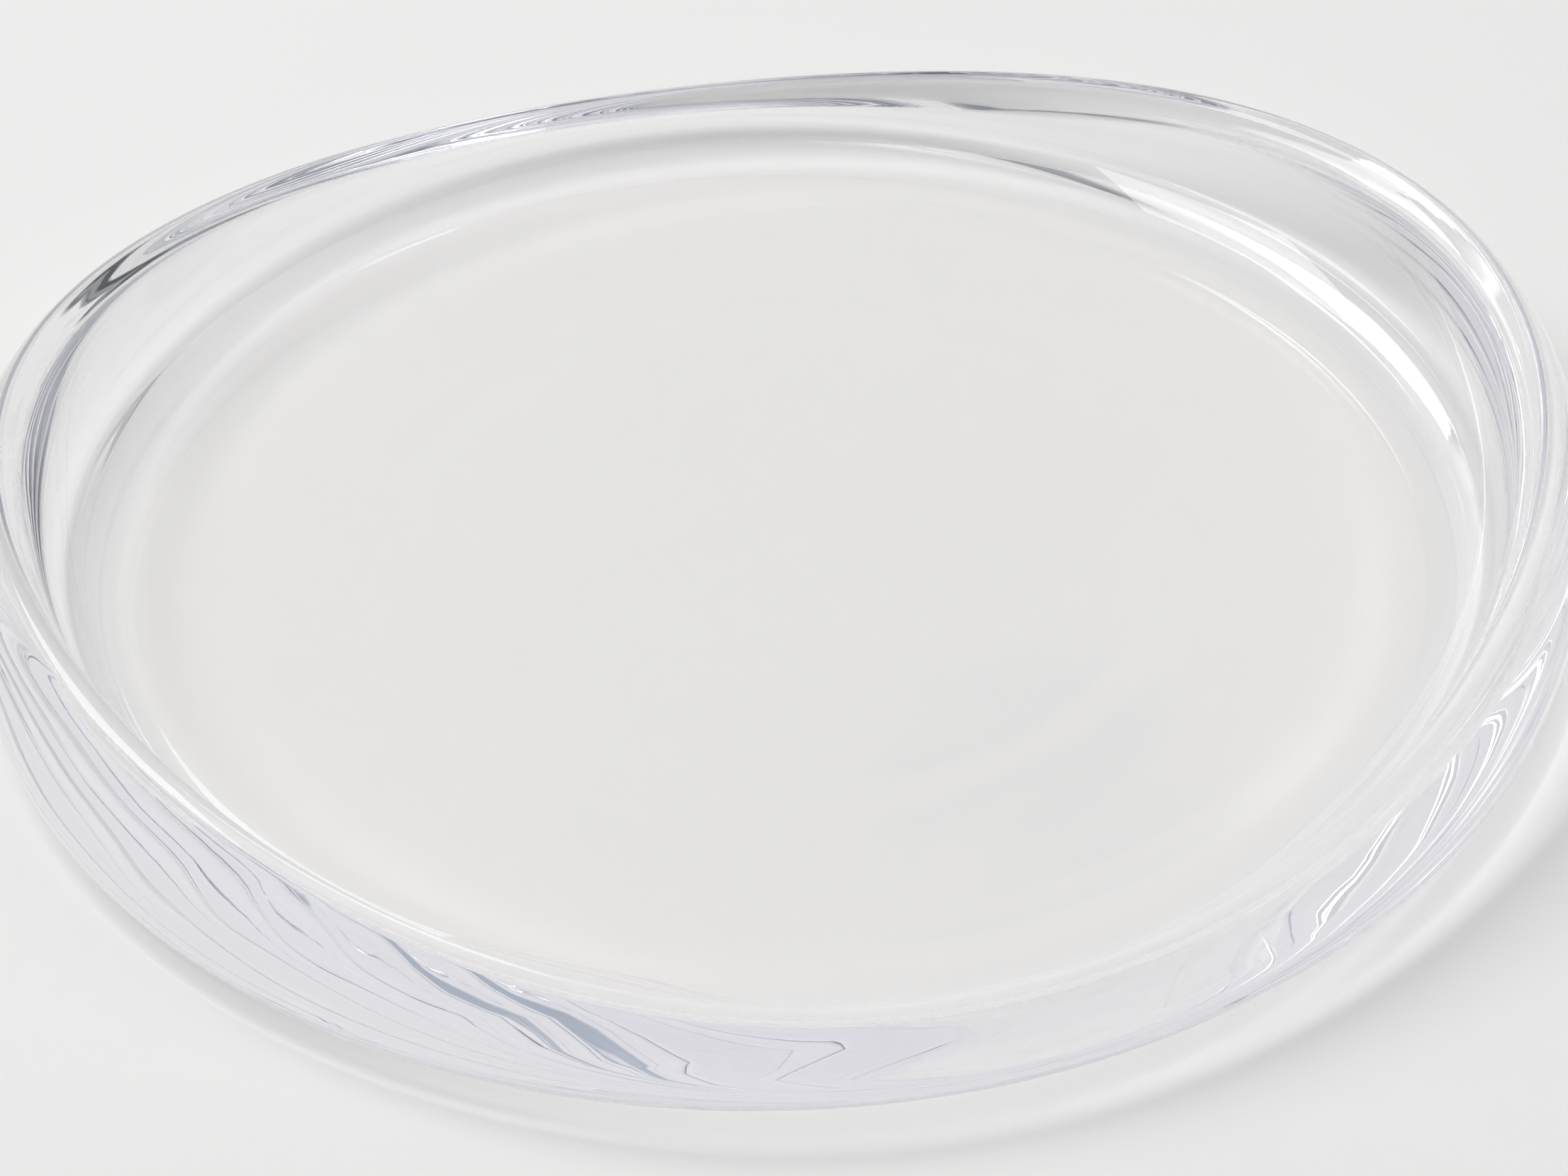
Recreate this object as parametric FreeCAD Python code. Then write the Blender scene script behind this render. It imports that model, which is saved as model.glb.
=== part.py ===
import FreeCAD, Part
import math
import os

# A shallow round dish of thick clear glass, formed and finished by hand in one piece.
# Millimetres, +Z up. The origin is on the table, under the middle of the base.

# Body: a true circle up to the belly, which is the widest part of the outer wall.
BELLY_RADIUS = 60.0
BELLY_HEIGHT = 4.8
WALL_BULGE_RADIUS = 9.0  # outer wall, seen in section
BOTTOM_EDGE_RADIUS = 3.2  # rounding where the wall turns under to the base
FLOOR_THICKNESS = 3.8
FILLET_RADIUS = 9.5  # hollow sweep from the floor up to the rim

# Rim: a narrow rounded crest that is neither quite round nor quite level.
RIM_HEIGHT = 11.4
CREST_RADIUS = 1.3
WALL_TOP = 8.6  # up here the outer wall has the whole of the rim's shape
LOBE_COUNT = 3
LOBE_SHARE = 0.012  # of the rim's radius, out at the lobes and in between them
OVAL_SHARE = 0.010  # of the rim's radius, out along its long way and in across it
OVAL_ANGLE = -45.0  # degrees from +X to the long way
LIFT_COUNT = 2
LIFT_HEIGHT = 3.6  # up at the two high sides and down between them
LIFT_ANGLE = 13.0  # degrees from +X to the first high side

# Underside: a shallow ground recess inside the ring that the dish stands on.
RECESS_RADIUS = 33.0
RECESS_DEPTH = 0.1
RECESS_EDGE_WIDTH = 4.5
CUTTER_OVERLAP = 1.0  # how far the recess cutter reaches below the base

# Steps of the loft: rings along each arc of the section, and points round each ring.
EDGE_STEPS = 5
WALL_STEPS = 5
CREST_STEPS = 7
FILLET_STEPS = 8
RING_POINTS = 36
DOWN = -90.0


def polar(centre, radius, degrees):
    angle = math.radians(degrees)
    return centre[0] + radius * math.cos(angle), centre[1] + radius * math.sin(angle)


def arc_points(centre, radius, start, end, steps):
    """Points along an arc in the section, without its first one."""
    return [polar(centre, radius, start + (end - start) * k / steps) for k in range(1, steps + 1)]


def direction(start, end):
    return math.degrees(math.atan2(end[1] - start[1], end[0] - start[0]))


def section_centres():
    """Centres of the four tangent arcs of the section: wall, bottom edge, crest and fillet."""
    wall = (BELLY_RADIUS - WALL_BULGE_RADIUS, BELLY_HEIGHT)
    edge_gap = WALL_BULGE_RADIUS - BOTTOM_EDGE_RADIUS
    edge_x = wall[0] + math.sqrt(edge_gap**2 - (wall[1] - BOTTOM_EDGE_RADIUS) ** 2)
    crest_z = RIM_HEIGHT - CREST_RADIUS
    crest_gap = WALL_BULGE_RADIUS - CREST_RADIUS
    crest_x = wall[0] + math.sqrt(crest_gap**2 - (crest_z - wall[1]) ** 2)
    fillet_z = FLOOR_THICKNESS + FILLET_RADIUS
    fillet_gap = FILLET_RADIUS + CREST_RADIUS
    fillet_x = crest_x - math.sqrt(fillet_gap**2 - (fillet_z - crest_z) ** 2)
    return wall, (edge_x, BOTTOM_EDGE_RADIUS), (crest_x, crest_z), (fillet_x, fillet_z)


def outside_points():
    """Radius and height from the edge of the base up the wall to where the crest begins."""
    wall, edge, crest, _ = section_centres()
    turn_under = direction(wall, edge)
    turn_over = direction(wall, crest)
    points = [polar(edge, BOTTOM_EDGE_RADIUS, DOWN)]
    points += arc_points(edge, BOTTOM_EDGE_RADIUS, DOWN, turn_under, EDGE_STEPS)
    return points + arc_points(wall, WALL_BULGE_RADIUS, turn_under, turn_over, WALL_STEPS)


def crest_points():
    """Radius and height over the crest, from the wall to the fillet."""
    wall, _, crest, fillet = section_centres()
    turn_over = direction(wall, crest)
    turn_in = direction(crest, fillet)
    return arc_points(crest, CREST_RADIUS, turn_over, turn_in, CREST_STEPS)


def fillet_points():
    """Radius and height down the fillet to the edge of the floor."""
    _, _, crest, fillet = section_centres()
    turn_in = direction(crest, fillet)
    return arc_points(fillet, FILLET_RADIUS, turn_in - 180.0, DOWN, FILLET_STEPS)


def rim_share(height, start, end):
    """0 up to the start height and 1 from the end height up, with a smooth rise between."""
    share = (height - start) / (end - start)
    share = min(max(share, 0.0), 1.0)
    return share * share * (3.0 - 2.0 * share)


def ring(radius, height, share):
    """One closed ring of the dish, with its share of the rim's lobes, oval and lift."""
    points = []
    for k in range(RING_POINTS):
        angle = 2.0 * math.pi * k / RING_POINTS
        lobes = LOBE_SHARE * math.sin(LOBE_COUNT * angle)
        oval = OVAL_SHARE * math.cos(2.0 * (angle - math.radians(OVAL_ANGLE)))
        lift = LIFT_HEIGHT * math.cos(LIFT_COUNT * (angle - math.radians(LIFT_ANGLE)))
        out = radius * (1.0 + share * (lobes + oval))
        points.append(FreeCAD.Vector(out * math.cos(angle), out * math.sin(angle), height + share * lift))
    curve = Part.BSplineCurve()
    curve.interpolate(Points=points, PeriodicFlag=True)
    return Part.Wire([curve.toShape()])


def dish_body():
    """The dish lofted through its rings, closed by the flat base and the flat floor."""
    crest = crest_points()
    top = max(range(len(crest)), key=lambda k: crest[k][1])
    outside = outside_points() + crest[:top]
    inside = crest[top:] + fillet_points()
    rings = [ring(r, z, rim_share(z, 0.0, WALL_TOP)) for r, z in outside]
    rings += [ring(r, z, rim_share(z, FLOOR_THICKNESS, RIM_HEIGHT)) for r, z in inside]
    return Part.makeLoft(rings, True, False)


def underside_recess():
    """A flat-topped cutter whose edge slopes in, as a ground recess does."""
    slope = RECESS_EDGE_WIDTH / RECESS_DEPTH
    return Part.makeCone(
        RECESS_RADIUS + CUTTER_OVERLAP * slope,
        RECESS_RADIUS - RECESS_EDGE_WIDTH,
        CUTTER_OVERLAP + RECESS_DEPTH,
        FreeCAD.Vector(0, 0, -CUTTER_OVERLAP),
    )


def glass_dish():
    dish = dish_body().cut(underside_recess())
    return Part.Solid(dish.Solids[0])


os.makedirs("parts", exist_ok=True)
glass_dish().exportStep("parts/glass_dish.step")
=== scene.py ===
import math

import bpy
import numpy as np
from mathutils import Matrix, Vector


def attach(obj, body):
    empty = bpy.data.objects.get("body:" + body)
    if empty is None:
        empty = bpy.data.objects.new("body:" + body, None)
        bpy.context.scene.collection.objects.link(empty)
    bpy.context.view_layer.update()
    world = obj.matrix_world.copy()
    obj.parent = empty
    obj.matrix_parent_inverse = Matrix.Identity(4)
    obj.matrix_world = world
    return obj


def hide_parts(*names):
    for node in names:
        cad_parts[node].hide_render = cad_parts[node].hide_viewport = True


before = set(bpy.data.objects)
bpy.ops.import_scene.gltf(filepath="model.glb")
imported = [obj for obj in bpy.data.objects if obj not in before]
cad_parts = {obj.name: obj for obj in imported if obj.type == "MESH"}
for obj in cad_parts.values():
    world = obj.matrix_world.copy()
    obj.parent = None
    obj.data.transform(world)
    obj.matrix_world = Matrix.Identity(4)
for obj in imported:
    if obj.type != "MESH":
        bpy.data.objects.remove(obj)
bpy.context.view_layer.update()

MM = 0.001

# ---------------------------------------------------------------- the dish's own sizes, in metres

BELLY_RADIUS = 60.0 * MM
BELLY_HEIGHT = 4.8 * MM
WALL_BULGE_RADIUS = 9.0 * MM
BOTTOM_EDGE_RADIUS = 3.2 * MM
FLOOR_THICKNESS = 3.8 * MM
FILLET_RADIUS = 9.5 * MM
RIM_HEIGHT = 11.4 * MM
CREST_RADIUS = 1.3 * MM
WALL_TOP = 8.6 * MM
LOBE_COUNT = 3
LOBE_SHARE = 0.012
OVAL_SHARE = 0.010
OVAL_ANGLE = math.radians(-45.0)
LIFT_COUNT = 2
LIFT_HEIGHT = 3.6 * MM
LIFT_ANGLE = math.radians(13.0)
RECESS_RADIUS = 33.0 * MM
RECESS_DEPTH = 0.1 * MM
RECESS_EDGE_WIDTH = 4.5 * MM
DOWN = -math.pi / 2

# ---------------------------------------------------------------- its mesh, and how uneven the glass is

AROUND = 1300
EDGE_STEPS = 8
WALL_STEPS = 14
CREST_STEPS = 20
FILLET_STEPS = 18
SLOPE_STEPS = 4
FLAT_STEPS = (0.03, 0.97, 1.0)  # close rings at both ends keep the flat faces' shading flat
SOFT_STEP = 0.05 * MM  # spacing of the fine path that is averaged
SOFT_START = 40.0 * MM  # the section is softened outside this radius
SOFT_LOW = 4.5 * MM  # up to this height it is as soft as at the base
SOFT_RISE = 4.0 * MM  # and over this rise it comes down to the rim's softness
BASE_SOFTNESS = 1.5 * MM
RIM_SOFTNESS = 0.35 * MM
RIPPLE_SEED = 7
RIPPLE_WAVES = range(4, 10)  # waves to the turn
RIPPLE_START = 0.9 * BELLY_RADIUS  # the outer wall's ripple is outside this radius
RIM_RIPPLE = 0.02 * MM
WALL_RIPPLE = 0.01 * MM


def polar(centre, radius, angle):
    return centre[0] + radius * math.cos(angle), centre[1] + radius * math.sin(angle)


def arc_points(centre, radius, start, end, steps):
    """Points along an arc in the section, without its first one."""
    return [polar(centre, radius, start + (end - start) * k / steps) for k in range(1, steps + 1)]


def direction(start, end):
    return math.atan2(end[1] - start[1], end[0] - start[0])


def section_centres():
    """Centres of the four tangent arcs of the section: wall, bottom edge, crest and fillet."""
    wall = (BELLY_RADIUS - WALL_BULGE_RADIUS, BELLY_HEIGHT)
    edge_gap = WALL_BULGE_RADIUS - BOTTOM_EDGE_RADIUS
    edge_x = wall[0] + math.sqrt(edge_gap**2 - (wall[1] - BOTTOM_EDGE_RADIUS) ** 2)
    crest_z = RIM_HEIGHT - CREST_RADIUS
    crest_gap = WALL_BULGE_RADIUS - CREST_RADIUS
    crest_x = wall[0] + math.sqrt(crest_gap**2 - (crest_z - wall[1]) ** 2)
    fillet_z = FLOOR_THICKNESS + FILLET_RADIUS
    fillet_gap = FILLET_RADIUS + CREST_RADIUS
    fillet_x = crest_x - math.sqrt(fillet_gap**2 - (fillet_z - crest_z) ** 2)
    return wall, (edge_x, BOTTOM_EDGE_RADIUS), (crest_x, crest_z), (fillet_x, fillet_z)


def smooth_rise(value):
    value = np.clip(value, 0.0, 1.0)
    return value * value * (3.0 - 2.0 * value)


def rim_share(height, start, end):
    """0 up to the start height and 1 from the end height up, with a smooth rise between."""
    return float(smooth_rise((height - start) / (end - start)))


def underside_points():
    """Radius and height from near the middle of the ground recess out to the edge of the base."""
    _, edge, _, _ = section_centres()
    flat = RECESS_RADIUS - RECESS_EDGE_WIDTH
    stand = edge[0] - RECESS_RADIUS
    points = [(flat * share, RECESS_DEPTH) for share in FLAT_STEPS]
    for k in range(1, SLOPE_STEPS + 1):
        share = k / SLOPE_STEPS
        height = RECESS_DEPTH * (1.0 - float(smooth_rise(share)))
        points.append((flat + RECESS_EDGE_WIDTH * share, height))
    return points + [(RECESS_RADIUS + stand * share, 0.0) for share in FLAT_STEPS]


def section():
    """Radius, height and rim share of each ring: underside, wall, crest, fillet and floor."""
    wall, edge, crest, fillet = section_centres()
    turn_under = direction(wall, edge)
    turn_over = direction(wall, crest)
    turn_in = direction(crest, fillet)
    outside = arc_points(edge, BOTTOM_EDGE_RADIUS, DOWN, turn_under, EDGE_STEPS)
    outside += arc_points(wall, WALL_BULGE_RADIUS, turn_under, turn_over, WALL_STEPS)
    over = arc_points(crest, CREST_RADIUS, turn_over, turn_in, CREST_STEPS)
    top = max(range(CREST_STEPS), key=lambda k: over[k][1])
    inside = arc_points(fillet, FILLET_RADIUS, turn_in - math.pi, DOWN, FILLET_STEPS)
    floor = [(fillet[0] * (1.0 - share), FLOOR_THICKNESS) for share in FLAT_STEPS[:-1]]
    rings = [(r, z, 0.0) for r, z in underside_points()]
    rings += [(r, z, rim_share(z, 0.0, WALL_TOP)) for r, z in outside + over[:top]]
    rings += [(r, z, rim_share(z, FLOOR_THICKNESS, RIM_HEIGHT)) for r, z in over[top:] + inside]
    rings += [(r, z, 0.0) for r, z in floor]
    return soften(rings)


def softness(height):
    """How far along the section a corner is run out: far at the base and little at the rim."""
    rise = float(smooth_rise((height - SOFT_LOW) / SOFT_RISE))
    return BASE_SOFTNESS + (RIM_SOFTNESS - BASE_SOFTNESS) * rise


def soften(rings):
    """The section with its arcs run together, as the glass flowed in the mould and under the flame."""
    path = np.array([(r, z) for r, z, _ in rings])
    run = np.concatenate([[0.0], np.cumsum(np.hypot(*(path[1:] - path[:-1]).T))])
    fine = np.arange(0.0, run[-1], SOFT_STEP)
    fine_r, fine_z = np.interp(fine, run, path[:, 0]), np.interp(fine, run, path[:, 1])
    softened = []
    for place, (radius, height, share) in zip(run, rings):
        if radius > SOFT_START:
            weight = np.exp(-0.5 * ((fine - place) / softness(height)) ** 2)
            weight /= weight.sum()
            radius, height = float(weight @ fine_r), float(weight @ fine_z)
        softened.append((radius, height, share))
    return softened


def ripple(generator, angles):
    """A gentle closed wave round the dish, of about unit height, as hand finishing leaves."""
    wave = np.zeros_like(angles)
    for count in RIPPLE_WAVES:
        height = generator.normal() / math.sqrt(count)
        start = generator.uniform(0, 2 * math.pi)
        wave += height * np.cos(count * angles + start)
    return wave / np.abs(wave).max()


def dish_points():
    """Rows of points round the dish, one row for each ring of the section."""
    angles = np.arange(AROUND) * 2 * math.pi / AROUND
    generator = np.random.default_rng(RIPPLE_SEED)
    rim_out, rim_up, wall_out = (ripple(generator, angles) for _ in range(3))
    lobes = LOBE_SHARE * np.sin(LOBE_COUNT * angles) + OVAL_SHARE * np.cos(2 * (angles - OVAL_ANGLE))
    lift = np.cos(LIFT_COUNT * (angles - LIFT_ANGLE))
    rows = []
    for radius, height, share in section():
        body = smooth_rise(height / BELLY_HEIGHT) if radius > RIPPLE_START else 0.0
        out = radius * (1.0 + share * lobes)
        out = out + share * RIM_RIPPLE * rim_out + body * WALL_RIPPLE * wall_out
        up = height + share * (LIFT_HEIGHT * lift + RIM_RIPPLE * rim_up)
        rows.append(np.stack([out * np.cos(angles), out * np.sin(angles), up], axis=1))
    return rows


def dish_mesh():
    """The closed skin of the dish: quads between the rows and a fan at each middle."""
    rows = dish_points()
    points = np.concatenate(rows + [[(0.0, 0.0, RECESS_DEPTH), (0.0, 0.0, FLOOR_THICKNESS)]])
    first = np.arange(AROUND)
    after = (first + 1) % AROUND
    quads = []
    for row in range(len(rows) - 1):
        here, there = row * AROUND, (row + 1) * AROUND
        quads.append(np.stack([here + first, here + after, there + after, there + first], axis=1))
    under_middle, floor_middle = len(points) - 2, len(points) - 1
    last = (len(rows) - 1) * AROUND
    under_fan = [(under_middle, int(b), int(a)) for a, b in zip(first, after)]
    floor_fan = [(last + int(a), last + int(b), floor_middle) for a, b in zip(first, after)]
    faces = [tuple(q) for q in np.concatenate(quads).tolist()] + under_fan + floor_fan
    mesh = bpy.data.meshes.new("clear_dish")
    mesh.from_pydata(points.tolist(), [], faces)
    mesh.validate()
    mesh.shade_smooth()
    return mesh


# ---------------------------------------------------------------- materials

GLASS_IOR = 1.5
GLASS_TINT_LOW = (0.962, 0.961, 0.958, 1.0)
GLASS_TINT_HIGH = (0.971, 0.970, 0.968, 1.0)
GLASS_DEPTH_COLOUR = (0.90, 0.90, 0.98, 1.0)  # a trace of violet where light has come a long way
CARD_TINTS = ((1.0, 0.985, 0.974), (1.0, 0.992, 0.982))  # the two slightly warm whites of its mottling


def node(tree, kind, **inputs):
    """Adds a node and sets its inputs, with an underscore for each space in an input's name."""
    made = tree.nodes.new(kind)
    for name, value in inputs.items():
        made.inputs[name.replace("_", " ")].default_value = value
    return made


def clear_glass():
    """Clear glass with the faint waviness of a fire-polished surface and a trace of handling haze."""
    material = bpy.data.materials.new("dish_glass")
    material.use_nodes = True
    tree = material.node_tree
    shader = tree.nodes["Principled BSDF"]
    shader.inputs["Transmission Weight"].default_value = 1.0
    shader.inputs["IOR"].default_value = GLASS_IOR
    place = node(tree, "ShaderNodeTexCoord")

    tint_noise = node(tree, "ShaderNodeTexNoise", Scale=35.0, Detail=3.0)
    tint = node(tree, "ShaderNodeValToRGB")
    tint.color_ramp.elements[0].color = GLASS_TINT_LOW
    tint.color_ramp.elements[1].color = GLASS_TINT_HIGH
    tree.links.new(place.outputs["Object"], tint_noise.inputs["Vector"])
    tree.links.new(tint_noise.outputs["Fac"], tint.inputs["Fac"])
    tree.links.new(tint.outputs["Color"], shader.inputs["Base Color"])

    haze_noise = node(tree, "ShaderNodeTexNoise", Scale=90.0, Detail=6.0, Roughness=0.6)
    haze = node(tree, "ShaderNodeMapRange", From_Min=0.6, From_Max=0.9, To_Min=0.0, To_Max=0.02)
    tree.links.new(place.outputs["Object"], haze_noise.inputs["Vector"])
    tree.links.new(haze_noise.outputs["Fac"], haze.inputs["Value"])
    tree.links.new(haze.outputs["Result"], shader.inputs["Roughness"])

    wave_noise = node(tree, "ShaderNodeTexNoise", Scale=55.0, Detail=1.5, Roughness=0.4)
    wave = node(tree, "ShaderNodeBump", Strength=0.004, Distance=0.001)
    tree.links.new(place.outputs["Object"], wave_noise.inputs["Vector"])
    tree.links.new(wave_noise.outputs["Fac"], wave.inputs["Height"])
    tree.links.new(wave.outputs["Normal"], shader.inputs["Normal"])

    depth = node(tree, "ShaderNodeVolumeAbsorption", Density=5.0)
    depth.inputs["Color"].default_value = GLASS_DEPTH_COLOUR
    tree.links.new(depth.outputs["Volume"], tree.nodes["Material Output"].inputs["Volume"])
    return material


def pale_card(name, shade):
    """A matt, very slightly mottled studio surface."""
    material = bpy.data.materials.new(name)
    material.use_nodes = True
    tree = material.node_tree
    shader = tree.nodes["Principled BSDF"]
    shader.inputs["Roughness"].default_value = 0.85
    shader.inputs["Specular IOR Level"].default_value = 0.2
    place = node(tree, "ShaderNodeTexCoord")
    noise = node(tree, "ShaderNodeTexNoise", Scale=3.0, Detail=4.0)
    ramp = node(tree, "ShaderNodeValToRGB")
    for element, tint in zip(ramp.color_ramp.elements, CARD_TINTS):
        element.color = (*(shade * share for share in tint), 1.0)
    tree.links.new(place.outputs["Object"], noise.inputs["Vector"])
    tree.links.new(noise.outputs["Fac"], ramp.inputs["Fac"])
    tree.links.new(ramp.outputs["Color"], shader.inputs["Base Color"])
    return material


# ---------------------------------------------------------------- the dish


def place_dish():
    dish = bpy.data.objects.new("clear_dish", dish_mesh())
    bpy.context.scene.collection.objects.link(dish)
    dish.data.materials.append(clear_glass())
    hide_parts("glass_dish")
    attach(dish, "root")


# ---------------------------------------------------------------- studio

TABLE_SIZE = 6.0
TABLE_GAP = 0.15 * MM  # air under the dish's standing ring
TABLE_SHADE = 0.91
WINDOW_AZIMUTH = 150.0
WINDOW_ELEVATION = 50.0
WINDOW_DISTANCE = 1.2
WINDOW_SIZE = (0.6, 0.6)
WINDOW_POWER = 4.4


def place_table():
    half = TABLE_SIZE / 2
    sides = [(-half, -half), (half, -half), (half, half), (-half, half)]
    mesh = bpy.data.meshes.new("table_top")
    mesh.from_pydata([(x, y, -TABLE_GAP) for x, y in sides], [], [(0, 1, 2, 3)])
    table = bpy.data.objects.new("table_top", mesh)
    bpy.context.scene.collection.objects.link(table)
    table.data.materials.append(pale_card("table_paper", TABLE_SHADE))


def heading(azimuth, elevation):
    """The unit vector at an azimuth from +X and an elevation, both in degrees."""
    around, up = math.radians(azimuth), math.radians(elevation)
    return Vector((math.cos(up) * math.cos(around), math.cos(up) * math.sin(around), math.sin(up)))


def soft_box(name, azimuth, elevation, distance, size, power):
    """A large rectangular lamp that faces the dish. Azimuth and elevation are in degrees."""
    lamp = bpy.data.lights.new(name, "AREA")
    lamp.shape = "RECTANGLE"
    lamp.size, lamp.size_y = size
    lamp.energy = power
    place = heading(azimuth, elevation) * distance
    box = bpy.data.objects.new(name, lamp)
    bpy.context.scene.collection.objects.link(box)
    box.location = place
    box.rotation_euler = (-place).to_track_quat("-Z", "Y").to_euler()


ROOM_SHADE = (0.70, 0.70, 0.70)
# Soft places in the room: azimuth, elevation and reach in degrees, colour, and how broken up it is.
PLACES = [
    (70.0, 15.0, 75.0, (0.82, 0.82, 0.82), 0.0),
    (0.0, 90.0, 45.0, (0.86, 0.86, 0.86), 0.0),
    (238.0, 30.0, 28.0, (0.24, 0.26, 0.28), 0.2),
    (268.0, 30.0, 30.0, (0.22, 0.24, 0.26), 0.2),
    (300.0, 33.0, 26.0, (0.22, 0.24, 0.27), 0.1),
    (345.0, 24.0, 20.0, (0.26, 0.28, 0.30), 0.3),
    (11.0, 21.0, 14.0, (0.01, 0.02, 0.03), 0.3),
    (258.0, 30.0, 13.0, (0.02, 0.04, 0.06), 0.5),
    (148.0, 25.0, 15.0, (0.90, 0.90, 0.90), 0.0),
    (167.0, 28.0, 13.0, (0.88, 0.88, 0.88), 0.0),
    (129.0, 33.0, 5.5, (1.25, 1.25, 1.25), 0.3),
    (84.0, 43.0, 3.5, (0.45, 0.50, 0.56), 0.8),
    (113.0, 34.0, 4.5, (0.42, 0.50, 0.57), 0.9),
    (138.0, 33.0, 7.0, (0.52, 0.60, 0.67), 0.9),
]
PLACE_HEART = 0.6  # of a place's reach, within which it has its full colour
MIX_FACTOR, MIX_UNDER, MIX_OVER, MIX_RESULT = 0, 6, 7, 2  # the Mix node's colour sockets


def room():
    """An even pale room with a pale window side and darker places, as furniture and people make."""
    world = bpy.data.worlds.new("room")
    bpy.context.scene.world = world
    world.use_nodes = True
    tree = world.node_tree
    background = tree.nodes["Background"]
    background.inputs["Strength"].default_value = 1.0
    place = node(tree, "ShaderNodeTexCoord")
    clutter_noise = node(tree, "ShaderNodeTexNoise", Scale=7.0, Detail=2.0, Roughness=0.6)
    clutter = node(tree, "ShaderNodeMapRange", From_Min=0.46, From_Max=0.56)
    tree.links.new(place.outputs["Generated"], clutter_noise.inputs["Vector"])
    tree.links.new(clutter_noise.outputs["Fac"], clutter.inputs["Value"])
    colour = None
    for azimuth, elevation, reach, shade, broken in PLACES:
        facing = node(tree, "ShaderNodeVectorMath")
        facing.operation = "DOT_PRODUCT"
        facing.inputs[1].default_value = heading(azimuth, elevation)
        tree.links.new(place.outputs["Generated"], facing.inputs[0])
        edge = math.cos(math.radians(reach))
        heart = math.cos(math.radians(reach * PLACE_HEART))
        fade = node(tree, "ShaderNodeMapRange", From_Min=edge, From_Max=heart)
        fade.interpolation_type = "SMOOTHSTEP"
        tree.links.new(facing.outputs["Value"], fade.inputs["Value"])
        keep = node(tree, "ShaderNodeMapRange", To_Min=1.0 - broken, To_Max=1.0)
        tree.links.new(clutter.outputs["Result"], keep.inputs["Value"])
        tree.links.new(keep.outputs["Result"], fade.inputs["To Max"])
        blend = tree.nodes.new("ShaderNodeMix")
        blend.data_type = "RGBA"
        blend.inputs[MIX_UNDER].default_value = (*ROOM_SHADE, 1.0)
        blend.inputs[MIX_OVER].default_value = (*shade, 1.0)
        if colour is not None:
            tree.links.new(colour, blend.inputs[MIX_UNDER])
        tree.links.new(fade.outputs["Result"], blend.inputs[MIX_FACTOR])
        colour = blend.outputs[MIX_RESULT]
    tree.links.new(colour, background.inputs["Color"])


LIGHT_PATH_STEPS = 64  # light runs inside the thick floor by many total reflections


def follow_light_through_glass():
    """Lets light reach the table through the dish, unblurred and after many reflections inside it."""
    paths = bpy.context.scene.cycles
    paths.max_bounces = LIGHT_PATH_STEPS
    paths.glossy_bounces = LIGHT_PATH_STEPS
    paths.transmission_bounces = LIGHT_PATH_STEPS
    paths.blur_glossy = 0.0


# ---------------------------------------------------------------- camera

CAMERA_RADII = 4.913  # camera to the base's centre, in belly radii
CAMERA_ELEVATION = math.radians(37.86)
CAMERA_PITCH = math.radians(38.33)
CAMERA_YAW = math.radians(0.14)
CAMERA_ROLL = math.radians(-2.63)
IMAGE_WIDTH = 2212
FOCAL_PIXELS = 5500.0
SENSOR_WIDTH = 36.0
CLIP_START = 0.01


def place_camera():
    """A long lens that looks down on the dish from the front, close to it and tilted a little."""
    lens = bpy.data.cameras.new("camera")
    lens.sensor_width = SENSOR_WIDTH
    lens.lens = FOCAL_PIXELS / IMAGE_WIDTH * SENSOR_WIDTH
    lens.clip_start = CLIP_START
    camera = bpy.data.objects.new("camera", lens)
    bpy.context.scene.collection.objects.link(camera)
    flat = math.cos(CAMERA_PITCH)
    ahead = Vector((math.sin(CAMERA_YAW) * flat, math.cos(CAMERA_YAW) * flat, -math.sin(CAMERA_PITCH)))
    level = Vector((math.cos(CAMERA_YAW), -math.sin(CAMERA_YAW), 0.0))
    upright = level.cross(ahead)
    turn, tip = math.cos(CAMERA_ROLL), math.sin(CAMERA_ROLL)
    right = level * turn + upright * tip
    up = upright * turn - level * tip
    away = CAMERA_RADII * BELLY_RADIUS
    place = Vector((0.0, -math.cos(CAMERA_ELEVATION), math.sin(CAMERA_ELEVATION))) * away
    axes = Matrix((right, up, -ahead)).transposed().to_4x4()
    camera.matrix_world = Matrix.Translation(place) @ axes
    bpy.context.scene.camera = camera


place_dish()
place_table()
soft_box("window_light", WINDOW_AZIMUTH, WINDOW_ELEVATION, WINDOW_DISTANCE, WINDOW_SIZE, WINDOW_POWER)
room()
place_camera()
follow_light_through_glass()
bpy.context.scene.view_settings.view_transform = "Standard"
